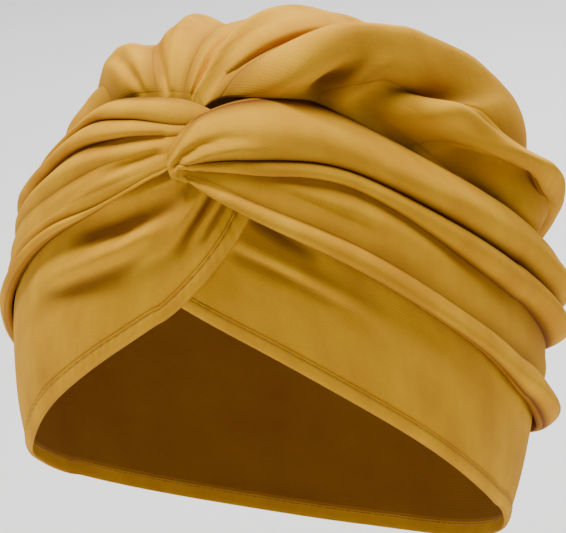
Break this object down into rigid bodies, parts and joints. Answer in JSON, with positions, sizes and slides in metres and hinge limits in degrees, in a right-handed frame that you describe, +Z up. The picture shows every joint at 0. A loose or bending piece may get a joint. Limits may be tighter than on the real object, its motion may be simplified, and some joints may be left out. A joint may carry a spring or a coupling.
{
  "type": "head wrap",
  "caption": "Ready-tied jersey head wrap in mustard yellow, with a twist above a V at the forehead, folded side bands and a gathered, puffed crown",
  "frame": {"origin": "middle of the head opening, level with the forehead part of the rim, where a head goes in", "axes": "+X to the wearer's left, +Y to the back of the head, +Z up"},
  "size_m": [0.2063, 0.223, 0.2281],
  "materials": {
    "jersey": "matte",
    "folded_jersey": "matte",
    "hem_jersey": "matte"
  },
  "bodies": {
    "root": {"crown_left": "jersey", "crown_right": "jersey", "headband": "jersey", "hem": "hem_jersey", "left_twist_band": "folded_jersey", "right_pleated_band": "folded_jersey"}
  },
  "joints": []
}
